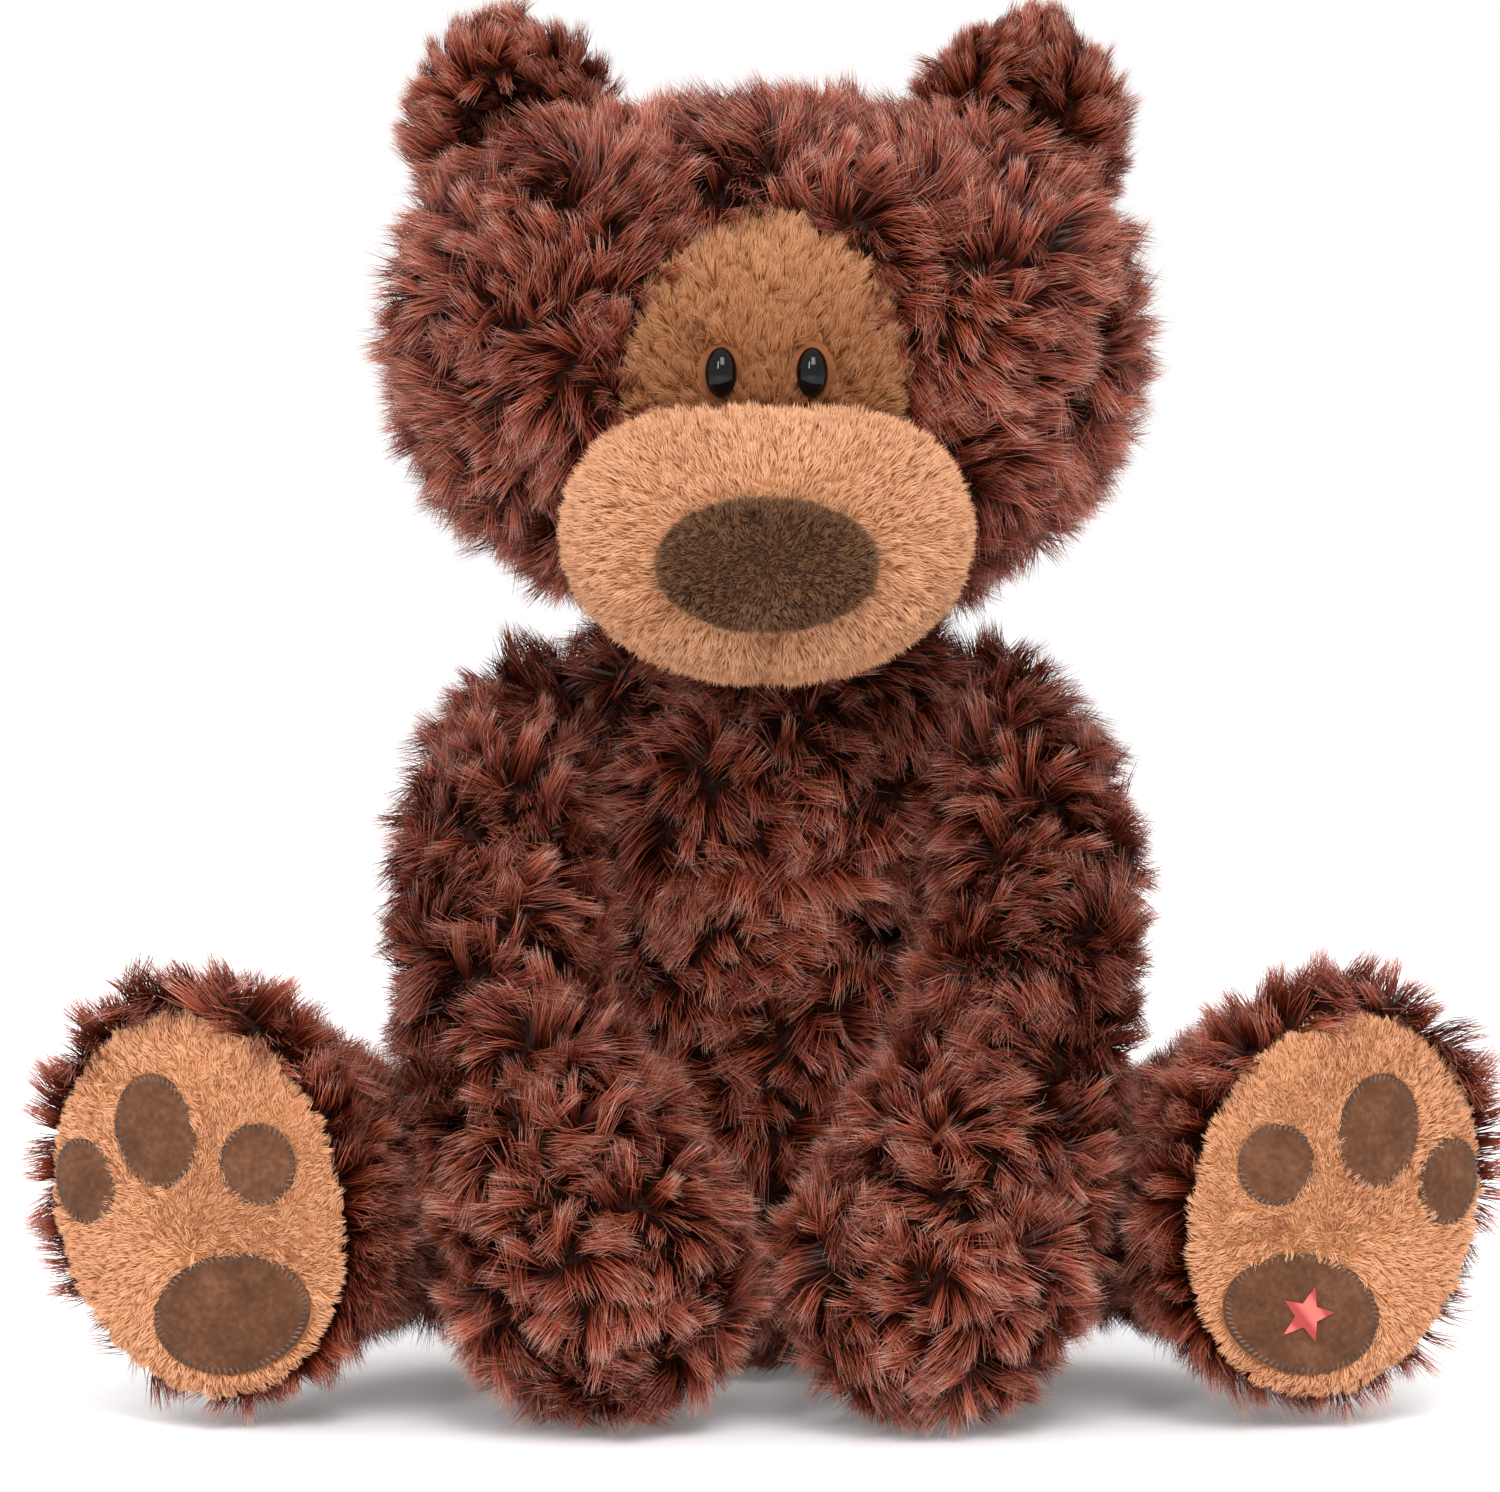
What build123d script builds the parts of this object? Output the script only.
from build123d import *
from math import cos, radians, sin, sqrt
import os

os.makedirs("parts", exist_ok=True)

# A seated jointed teddy bear, in millimetres. It faces -Y, its left side is +X and +Z is up.
# The origin is the middle of its flat seat. Soft pieces are sized to the middle of the pile.

# Cloth and clearances
fur_depth = 8.0
short_pile = 3.5
joint_cloth = 2.0
running_gap = 0.5
sewn_gap = 0.2

# Torso: a pear, flat under the seat and at the neck
seat_radius = 44.0
belly_radius = 61.0
belly_height = 56.0
chest_radius = 51.0
chest_height = 150.0
neck_radius = 34.0
neck_height = 196.0
pouch_radius = 32.0
pouch_half_height = 11.0
pouch_floor = 3.0

# Head: a wide egg over the neck, cut flat where the neck joint passes
head_half_width = 95.0
head_half_depth = 74.0
head_half_height = 68.5
head_cut = 12.0
head_forward = 8.0
patch_half_width = 35.0
patch_half_height = 42.0
patch_height = 250.0
muzzle_half_width = 50.0
muzzle_half_depth = 45.0
muzzle_half_height = 34.5
muzzle_forward = 76.0
muzzle_height = 211.0
nose_half_width = 28.0
nose_half_depth = 11.0
nose_half_height = 17.0
nose_sink = 5.0
nose_drop = 3.0
ear_half_width = 26.0
ear_half_depth = 13.0
ear_half_height = 32.0
ear_spread = 62.0
ear_height = 308.0
ear_tilt = 14.0
ear_back_set = 4.0
cup_half_width = 15.0
cup_half_depth = 8.0
cup_half_height = 19.0
cup_raise = 6.0

# Eyes: glossy ovals on a stem, with a washer behind the cloth
eye_half_width = 4.6
eye_half_height = 5.7
eye_half_depth = 3.2
eye_spacing = 22.0
eye_height = 252.0
eye_stem_radius = 1.5
eye_stem_length = 15.0
eye_washer_radius = 6.0
eye_washer_thickness = 1.2

# Arms: bent at the elbow, swelling to a round paw that rests on the floor
shoulder_plane = 40.0
shoulder_height = 160.0
shoulder_seat_radius = 62.0
shoulder_radius = 28.0
shoulder_overhang = 15.0
elbow_out = 26.0
elbow_forward = 58.0
elbow_drop = 48.0
elbow_radius = 28.0
wrist_radius = 31.0
paw_spacing = 79.0
paw_forward = 110.0
paw_radius = 38.0

# Legs: splayed forwards, with a tall foot turned out and rolled over onto its outer edge
hip_plane = 54.0
hip_height = 44.0
hip_seat_radius = 46.0
thigh_radius = 32.0
hip_overhang = 18.0
foot_spread = 137.0
foot_forward = 112.0
ankle_half_width = 37.0
ankle_half_height = 47.0
foot_half_width = 44.0
foot_half_height = 54.0
foot_turnout = 20.0
foot_roll = 15.0
floor_clearance = 0.6
sole_inset = 5.0
pad_thickness = 1.0
pad_sizes = {
    "inner_toe": (9.3, 9.8),
    "middle_toe": (10.5, 14.0),
    "outer_toe": (8.5, 10.5),
    "heel": (20.5, 14.5),
}
pad_places = {
    "inner_toe": (-20.5, 6.0),
    "middle_toe": (3.0, 19.5),
    "outer_toe": (25.0, 12.0),
    "heel": (-4.0, -27.0),
}
star_points = 5
star_radius = 7.0
star_waist = 3.0
star_thickness = 0.6

# Disc joints: a disc each side of the cloth, held by a bolt, two washers and a locknut
bolt_radius = 3.0
bolt_play = 0.3
hex_radius = 5.8
bolt_head_height = 4.0
nut_height = 6.0
thread_beyond_nut = 1.5
washer_radius = 9.0
washer_thickness = 1.2
disc_thickness = 3.0
disc_edge = 0.75
arm_disc_radius = 15.0
leg_disc_radius = 18.0
neck_disc_radius = 19.5
pocket_gap = 0.5
ball_step = 0.4

# The joints' planes lie in the middle of the running gap, and point out of the torso.
half_gap = running_gap / 2
neck_joint = Plane(origin=(0, 0, neck_height + half_gap), z_dir=(0, 0, 1))
shoulder_joint = Plane(origin=(shoulder_plane + half_gap, 0, shoulder_height), z_dir=(1, 0, 0))
hip_joint = Plane(origin=(hip_plane + half_gap, 0, hip_height), z_dir=(1, 0, 0))

# Stations along each joint's axis, measured from the middle of the gap
cloth_face = half_gap + joint_cloth
disc_start = cloth_face + sewn_gap
disc_end = disc_start + disc_thickness
washer_start = disc_end + sewn_gap
washer_end = washer_start + washer_thickness
fastener_start = washer_end + sewn_gap
bolt_head_end = fastener_start + bolt_head_height
nut_end = fastener_start + nut_height
bolt_end = nut_end + thread_beyond_nut

# The head's egg stands low enough for its flat to take the neck disc.
head_base = neck_height + running_gap
head_centre = head_base - head_cut + head_half_height


def write(part, name):
    """Label a finished piece and write its file."""
    part.label = name
    export_step(part, f"parts/{name}.step")


def write_pair(part, name):
    """Write the left piece, and the same piece turned over for the right."""
    with BuildPart() as right:
        add(part)
        mirror(about=Plane.YZ, mode=Mode.REPLACE)
    write(part, f"left_{name}")
    write(right.part, f"right_{name}")


def cut(whole, *tools):
    """What is left of a shape when others are taken out of it."""
    with BuildPart() as rest:
        add(whole)
        for tool in tools:
            add(tool, mode=Mode.SUBTRACT)
    return rest.part


def cut_both_sides(whole, *tools):
    """The same, with each tool used on the bear's left and on its right."""
    with BuildPart() as rest:
        add(whole)
        for tool in tools:
            add(tool, mode=Mode.SUBTRACT)
            add(tool.mirror(Plane.YZ), mode=Mode.SUBTRACT)
    return rest.part


def joined(*parts):
    """Several shapes as one tool."""
    with BuildPart() as whole:
        for part in parts:
            add(part)
    return whole.part


def ellipsoid(centre, half_width, half_depth, half_height):
    """A closed egg: a ball stretched to three half sizes."""
    with BuildPart() as egg:
        Sphere(1)
        scale(by=(half_width, half_depth, half_height))
    return Pos(*centre) * egg.part


def rod(plane, start, length, radius):
    """A solid cylinder on a plane's axis, from `start` along it."""
    with BuildPart() as cylinder:
        with BuildSketch(plane.offset(start)):
            Circle(radius)
        extrude(amount=length)
    return cylinder.part


def ring(plane, start, length, radius):
    """A flat ring that clears the bolt."""
    with BuildPart() as flat_ring:
        with BuildSketch(plane.offset(start)):
            Circle(radius)
            Circle(bolt_radius + bolt_play, mode=Mode.SUBTRACT)
        extrude(amount=length)
    return flat_ring.part


def disc(plane, start, radius):
    """One disc of a joint, its outer edges rounded so that they don't wear the cloth."""
    flat_ring = ring(plane, start, disc_thickness, radius)
    with BuildPart() as rounded:
        add(flat_ring)
        rims = rounded.edges().filter_by(GeomType.CIRCLE).sort_by(SortBy.RADIUS)[-2:]
        fillet(rims, disc_edge)
    return rounded.part


def bolt(plane):
    """A bolt: a hexagon head in the limb, and a shank that ends past the nut."""
    with BuildPart() as whole:
        with BuildSketch(plane.offset(-bolt_end)):
            Circle(bolt_radius)
        extrude(amount=bolt_end + fastener_start)
        with BuildSketch(plane.offset(fastener_start)):
            RegularPolygon(hex_radius, 6)
        extrude(amount=bolt_head_height)
    return whole.part


def locknut(plane):
    """The nut that grips the bolt inside the torso."""
    with BuildPart() as nut:
        with BuildSketch(plane.offset(-nut_end)):
            RegularPolygon(hex_radius, 6)
            Circle(bolt_radius, mode=Mode.SUBTRACT)
        extrude(amount=nut_height)
    return nut.part


def limb_pocket(plane, disc_radius):
    """The room that a disc, washer and bolt head take in the limb's stuffing."""
    return joined(
        rod(plane, 0, disc_end + pocket_gap, disc_radius + pocket_gap),
        rod(plane, 0, bolt_head_end + pocket_gap, washer_radius + pocket_gap),
    )


def torso_pocket(plane, disc_radius):
    """The room that a disc, washer, nut and bolt end take in the torso's stuffing."""
    disc_room = disc_end + pocket_gap
    nut_room = bolt_end + pocket_gap
    return joined(
        rod(plane, -disc_room, disc_room, disc_radius + pocket_gap),
        rod(plane, -nut_room, nut_room, washer_radius + pocket_gap),
    )


def disc_room(plane, disc_radius):
    """The room for a torso disc where the pile is trimmed short at the joint."""
    return rod(plane, -bolt_end - cloth_face, bolt_end, disc_radius + pocket_gap)


def bolt_hole(plane):
    """The hole that the bolt passes through in both cloths."""
    return rod(plane, -2 * cloth_face, 4 * cloth_face, bolt_radius + bolt_play)


def torso_form(inset, cloth):
    """The torso's pear, drawn in by the pile's depth, with seats for the shoulders and hips."""
    top = neck_height - cloth
    seats = [
        rod(joint, -half_gap - cloth, belly_radius, seat)
        for joint, seat in ((shoulder_joint, shoulder_seat_radius), (hip_joint, hip_seat_radius))
    ]
    with BuildPart() as pear:
        with BuildSketch(Plane.XZ):
            with BuildLine():
                Spline(
                    (seat_radius - inset, inset),
                    (belly_radius - inset, belly_height),
                    (chest_radius - inset, chest_height),
                    (neck_radius - inset / 2, top),
                    tangents=((1, 0.8), (-1, 0.8)),
                )
                Polyline((neck_radius - inset / 2, top), (0, top), (0, inset), (seat_radius - inset, inset))
            make_face()
        revolve(axis=Axis.Z)
    return cut_both_sides(pear.part, *seats)


def head_form(inset, cloth=0.0):
    """The head's egg, drawn in by the inset and cut flat over the neck."""
    egg = ellipsoid(
        (0, -head_forward, head_centre),
        head_half_width - inset,
        head_half_depth - inset,
        head_half_height - inset,
    )
    with BuildPart() as form:
        add(egg)
        split(bisect_by=Plane.XY.offset(head_base + cloth), keep=Keep.TOP)
    return form.part


def head_front(across, height, inset):
    """How far forward the head's surface stands, so far across and so high."""
    out = across / (head_half_width - inset)
    up = (height - head_centre) / (head_half_height - inset)
    return head_forward + (head_half_depth - inset) * sqrt(1 - out**2 - up**2)


def muzzle_form(inset):
    """The muzzle's pillow."""
    return ellipsoid(
        (0, -muzzle_forward, muzzle_height),
        muzzle_half_width - inset,
        muzzle_half_depth - inset,
        muzzle_half_height - inset,
    )


def patch_prism(grow):
    """The outline of the face patch, carried forwards through the head."""
    with BuildPart() as prism:
        with BuildSketch(Plane.XZ.offset(head_forward)):
            with Locations((0, patch_height)):
                Ellipse(patch_half_width + grow, patch_half_height + grow)
        extrude(amount=2 * head_half_depth)
    return prism.part


def ear_form():
    """The left ear's whole shape: an egg on edge, leaning outwards."""
    egg = ellipsoid((0, 0, 0), ear_half_width, ear_half_depth, ear_half_height)
    return Pos(ear_spread, -ear_back_set, ear_height) * Rot(0, ear_tilt, 0) * egg


def ear_cup():
    """The hollow in the front of the left ear."""
    egg = ellipsoid((0, -ear_half_depth, cup_raise), cup_half_width, cup_half_depth, cup_half_height)
    return Pos(ear_spread, -ear_back_set, ear_height) * Rot(0, ear_tilt, 0) * egg


def arm_form(inset, cloth):
    """The left arm: a bent sleeve with a ball at each end, and a flat for the shoulder joint."""
    shoulder = Vector(shoulder_plane + running_gap + shoulder_overhang, 0, shoulder_height)
    elbow = Vector(shoulder_plane + elbow_out, -elbow_forward, shoulder_height - elbow_drop)
    paw = Vector(paw_spacing / 2, -paw_forward, paw_radius + floor_clearance)
    bone = Spline(shoulder, elbow, paw)
    stations = (
        (0, shoulder_radius),
        (0.25, shoulder_radius),
        (0.5, elbow_radius),
        (0.75, wrist_radius),
        (1, paw_radius),
    )
    seat = rod(
        shoulder_joint, half_gap + cloth - belly_radius, belly_radius, shoulder_seat_radius + cloth
    )
    with BuildPart() as sleeve:
        for share, radius in stations:
            with BuildSketch(Plane(origin=bone @ share, z_dir=bone % share)):
                Circle(radius - inset - ball_step)
        loft()
        with Locations(shoulder):
            Sphere(shoulder_radius - inset)
        with Locations(paw):
            Sphere(paw_radius - inset)
    return cut(sleeve.part, seat)


def rolled_plane(origin, ahead, roll):
    """A plane across the leg at a point, with its X axis outwards, its Y axis up the foot, and a roll."""
    out = Vector(-ahead.Y, ahead.X, 0).normalized()
    up = ahead.cross(out)
    return Plane(origin=origin, x_dir=out * cos(radians(roll)) - up * sin(radians(roll)), z_dir=ahead)


# The sole faces forwards and is turned out.
sole_plane = rolled_plane(
    Vector(foot_spread, -foot_forward, foot_half_height + floor_clearance),
    Vector(sin(radians(foot_turnout)), -cos(radians(foot_turnout)), 0),
    foot_roll,
)


def leg_form(inset, cloth):
    """The left leg: a ball at the hip that swells into a tall foot, flat at the sole."""
    hip = Vector(hip_plane + running_gap + hip_overhang, 0, hip_height)
    bone = Spline(hip, sole_plane.origin, tangents=((1, -0.8, 0), sole_plane.z_dir))
    stations = (
        (0, thigh_radius, thigh_radius, 0),
        (0.45, thigh_radius, thigh_radius, 0),
        (0.8, ankle_half_width, ankle_half_height, foot_roll),
        (1, foot_half_width, foot_half_height, foot_roll),
    )
    with BuildPart() as form:
        for share, half_width, half_height, roll in stations:
            with BuildSketch(rolled_plane(bone @ share, bone % share, roll)):
                Ellipse(half_width - inset - ball_step, half_height - inset - ball_step)
        loft()
        with Locations(hip):
            Sphere(thigh_radius - inset)
        split(bisect_by=Plane.YZ.offset(hip_plane + running_gap + cloth), keep=Keep.TOP)
    return form.part


def make_torso():
    """Torso cover, stuffing and pellet pouch, and the discs that the nuts pull against."""
    side_joints = {
        "shoulder": (shoulder_joint, arm_disc_radius),
        "hip": (hip_joint, leg_disc_radius),
    }
    hollows = [bolt_hole(joint) for joint, _ in side_joints.values()]
    hollows += [disc_room(joint, radius) for joint, radius in side_joints.values()]
    shell = cut(torso_form(0, 0), torso_form(fur_depth, joint_cloth), bolt_hole(neck_joint))
    write(cut_both_sides(shell, *hollows), "torso_cover")

    pouch_height = fur_depth + sewn_gap + pouch_floor + pouch_half_height
    pouch = ellipsoid((0, 0, pouch_height), pouch_radius, pouch_radius, pouch_half_height)
    pouch_room = ellipsoid(
        (0, 0, pouch_height),
        pouch_radius + sewn_gap,
        pouch_radius + sewn_gap,
        pouch_half_height + sewn_gap,
    )
    write(pouch, "pellet_pouch")

    pockets = [torso_pocket(joint, radius) for joint, radius in side_joints.values()]
    filling = cut(
        torso_form(fur_depth + sewn_gap, joint_cloth + sewn_gap),
        torso_pocket(neck_joint, neck_disc_radius),
        pouch_room,
    )
    write(cut_both_sides(filling, *pockets), "torso_stuffing")

    write(disc(neck_joint, -disc_end, neck_disc_radius), "neck_torso_disc")
    for name, (joint, radius) in side_joints.items():
        write_pair(disc(joint, -disc_end, radius), f"{name}_torso_disc")


def joint_hardware(plane, disc_radius):
    """The disc, bolt, washers and locknut that turn with a limb or with the head."""
    washers = joined(
        ring(plane, washer_start, washer_thickness, washer_radius),
        ring(plane, -washer_end, washer_thickness, washer_radius),
    )
    return {
        "outer_disc": disc(plane, disc_start, disc_radius),
        "bolt": bolt(plane),
        "washers": washers,
        "locknut": locknut(plane),
    }


def eye(plane):
    """A glossy half oval on a stem."""
    egg = Pos(*plane.origin) * ellipsoid((0, 0, 0), eye_half_width, eye_half_depth, eye_half_height)
    stem = rod(plane, -eye_stem_length, eye_stem_length, eye_stem_radius)
    with BuildPart() as dome:
        add(egg)
        split(bisect_by=plane, keep=Keep.TOP)
        add(stem)
    return dome.part


def eye_rings(planes, start, radius, bore):
    """A washer, or the room for one, behind the cloth at each eye."""
    with BuildPart() as rings:
        for plane in planes:
            with BuildSketch(plane.offset(start)):
                Circle(radius)
                if bore:
                    Circle(bore, mode=Mode.SUBTRACT)
            extrude(amount=eye_washer_thickness)
    return rings.part


def make_head():
    """Head cover, face patch, muzzle, nose, ears, eyes and stuffing."""
    patch_inset = fur_depth - short_pile
    eye_back = head_front(0, eye_height, patch_inset) + sewn_gap
    eye_planes = [
        Plane(origin=(side * eye_spacing / 2, -eye_back, eye_height), z_dir=(0, -1, 0))
        for side in (1, -1)
    ]
    stem_rooms = [
        rod(plane, -eye_stem_length - sewn_gap, eye_stem_length, eye_stem_radius + sewn_gap)
        for plane in eye_planes
    ]
    outer = head_form(0)
    inner = head_form(fur_depth, joint_cloth)
    muzzle_room = muzzle_form(-sewn_gap)
    fur = cut(outer, inner, patch_prism(0), muzzle_room, bolt_hole(neck_joint), *stem_rooms)
    write(fur, "head_cover")

    slab = cut(head_form(patch_inset, joint_cloth), inner)
    outline = patch_prism(-sewn_gap)
    with BuildPart() as patch:
        add(slab)
        add(outline, mode=Mode.INTERSECT)
    write(cut(patch.part, muzzle_room, *stem_rooms), "face_patch")

    pillow = muzzle_form(0)
    write(cut(pillow, muzzle_form(short_pile), head_form(fur_depth), *stem_rooms), "muzzle_cover")

    nose_front = nose_sink - muzzle_forward - muzzle_half_depth
    egg = ellipsoid(
        (0, nose_front, muzzle_height - nose_drop),
        nose_half_width,
        nose_half_depth,
        nose_half_height,
    )
    write(cut(egg, muzzle_room), "nose")

    whole_ear = cut(ear_form(), head_form(-sewn_gap))
    hollow_ear = cut(whole_ear, ear_cup())
    seam = Plane.XZ.offset(ear_back_set)
    with BuildPart() as ear_back:
        add(whole_ear)
        split(bisect_by=seam.offset(-sewn_gap / 2), keep=Keep.BOTTOM)
    with BuildPart() as ear_front:
        add(hollow_ear)
        split(bisect_by=seam.offset(sewn_gap / 2), keep=Keep.TOP)
    write_pair(ear_back.part, "ear_back")
    write_pair(ear_front.part, "ear_front")

    left_eye = cut(eye(eye_planes[0]), pillow)
    write_pair(left_eye, "eye")

    washer_reach = eye_spacing / 2 + eye_washer_radius
    washer_rim = head_front(washer_reach, eye_height + eye_washer_radius, fur_depth)
    washer_back = washer_rim - eye_back - eye_washer_thickness - sewn_gap
    washers = eye_rings(eye_planes, washer_back, eye_washer_radius, eye_stem_radius + bolt_play)
    write(washers, "eye_washers")

    filling = joined(
        head_form(fur_depth + sewn_gap, joint_cloth + sewn_gap), muzzle_form(short_pile + sewn_gap)
    )
    rooms = [
        rod(plane, washer_back - sewn_gap, 2 * head_half_depth, eye_washer_radius + pocket_gap)
        for plane in eye_planes
    ]
    write(cut(filling, limb_pocket(neck_joint, neck_disc_radius), *rooms, *stem_rooms), "head_stuffing")

    for piece, part in joint_hardware(neck_joint, neck_disc_radius).items():
        write(part, f"neck_{piece}")


def make_arms():
    """Both arms: cover, stuffing and the shoulder joint's moving hardware."""
    cover = cut(arm_form(0, 0), arm_form(fur_depth, joint_cloth), bolt_hole(shoulder_joint))
    stuffing = cut(
        arm_form(fur_depth + sewn_gap, joint_cloth + sewn_gap),
        limb_pocket(shoulder_joint, arm_disc_radius),
    )
    write_pair(cover, "arm_cover")
    write_pair(stuffing, "arm_stuffing")
    for piece, part in joint_hardware(shoulder_joint, arm_disc_radius).items():
        write_pair(part, f"shoulder_{piece}")


def make_legs():
    """Both legs: cover, stuffing, sole, pads and the hip joint's moving hardware."""
    cover = cut(leg_form(0, 0), leg_form(fur_depth, joint_cloth), bolt_hole(hip_joint))
    stuffing = cut(
        leg_form(fur_depth + sewn_gap, joint_cloth + sewn_gap), limb_pocket(hip_joint, leg_disc_radius)
    )
    write_pair(cover, "leg_cover")
    write_pair(stuffing, "leg_stuffing")

    with BuildPart() as sole:
        with BuildSketch(sole_plane.offset(sewn_gap)):
            Ellipse(foot_half_width - sole_inset, foot_half_height - sole_inset)
        extrude(amount=short_pile)
    write_pair(sole.part, "sole")

    pad_start = 2 * sewn_gap + short_pile
    for name, half_sizes in pad_sizes.items():
        with BuildPart() as pad:
            with BuildSketch(sole_plane.offset(pad_start)):
                with Locations(pad_places[name]):
                    Ellipse(*half_sizes)
            extrude(amount=pad_thickness)
        write_pair(pad.part, f"{name}_pad")

    step = radians(180 / star_points)
    heel_x, heel_y = pad_places["heel"]
    corners = [
        (heel_x + radius * sin(k * step), heel_y + radius * cos(k * step))
        for k, radius in enumerate((star_radius, star_waist) * star_points)
    ]
    with BuildPart() as star:
        with BuildSketch(sole_plane.offset(pad_start + pad_thickness + sewn_gap)):
            with BuildLine():
                Polyline(*corners, close=True)
            make_face()
        extrude(amount=star_thickness)
    write(star.part, "left_heel_star")

    for piece, part in joint_hardware(hip_joint, leg_disc_radius).items():
        write_pair(part, f"hip_{piece}")


make_torso()
make_head()
make_arms()
make_legs()
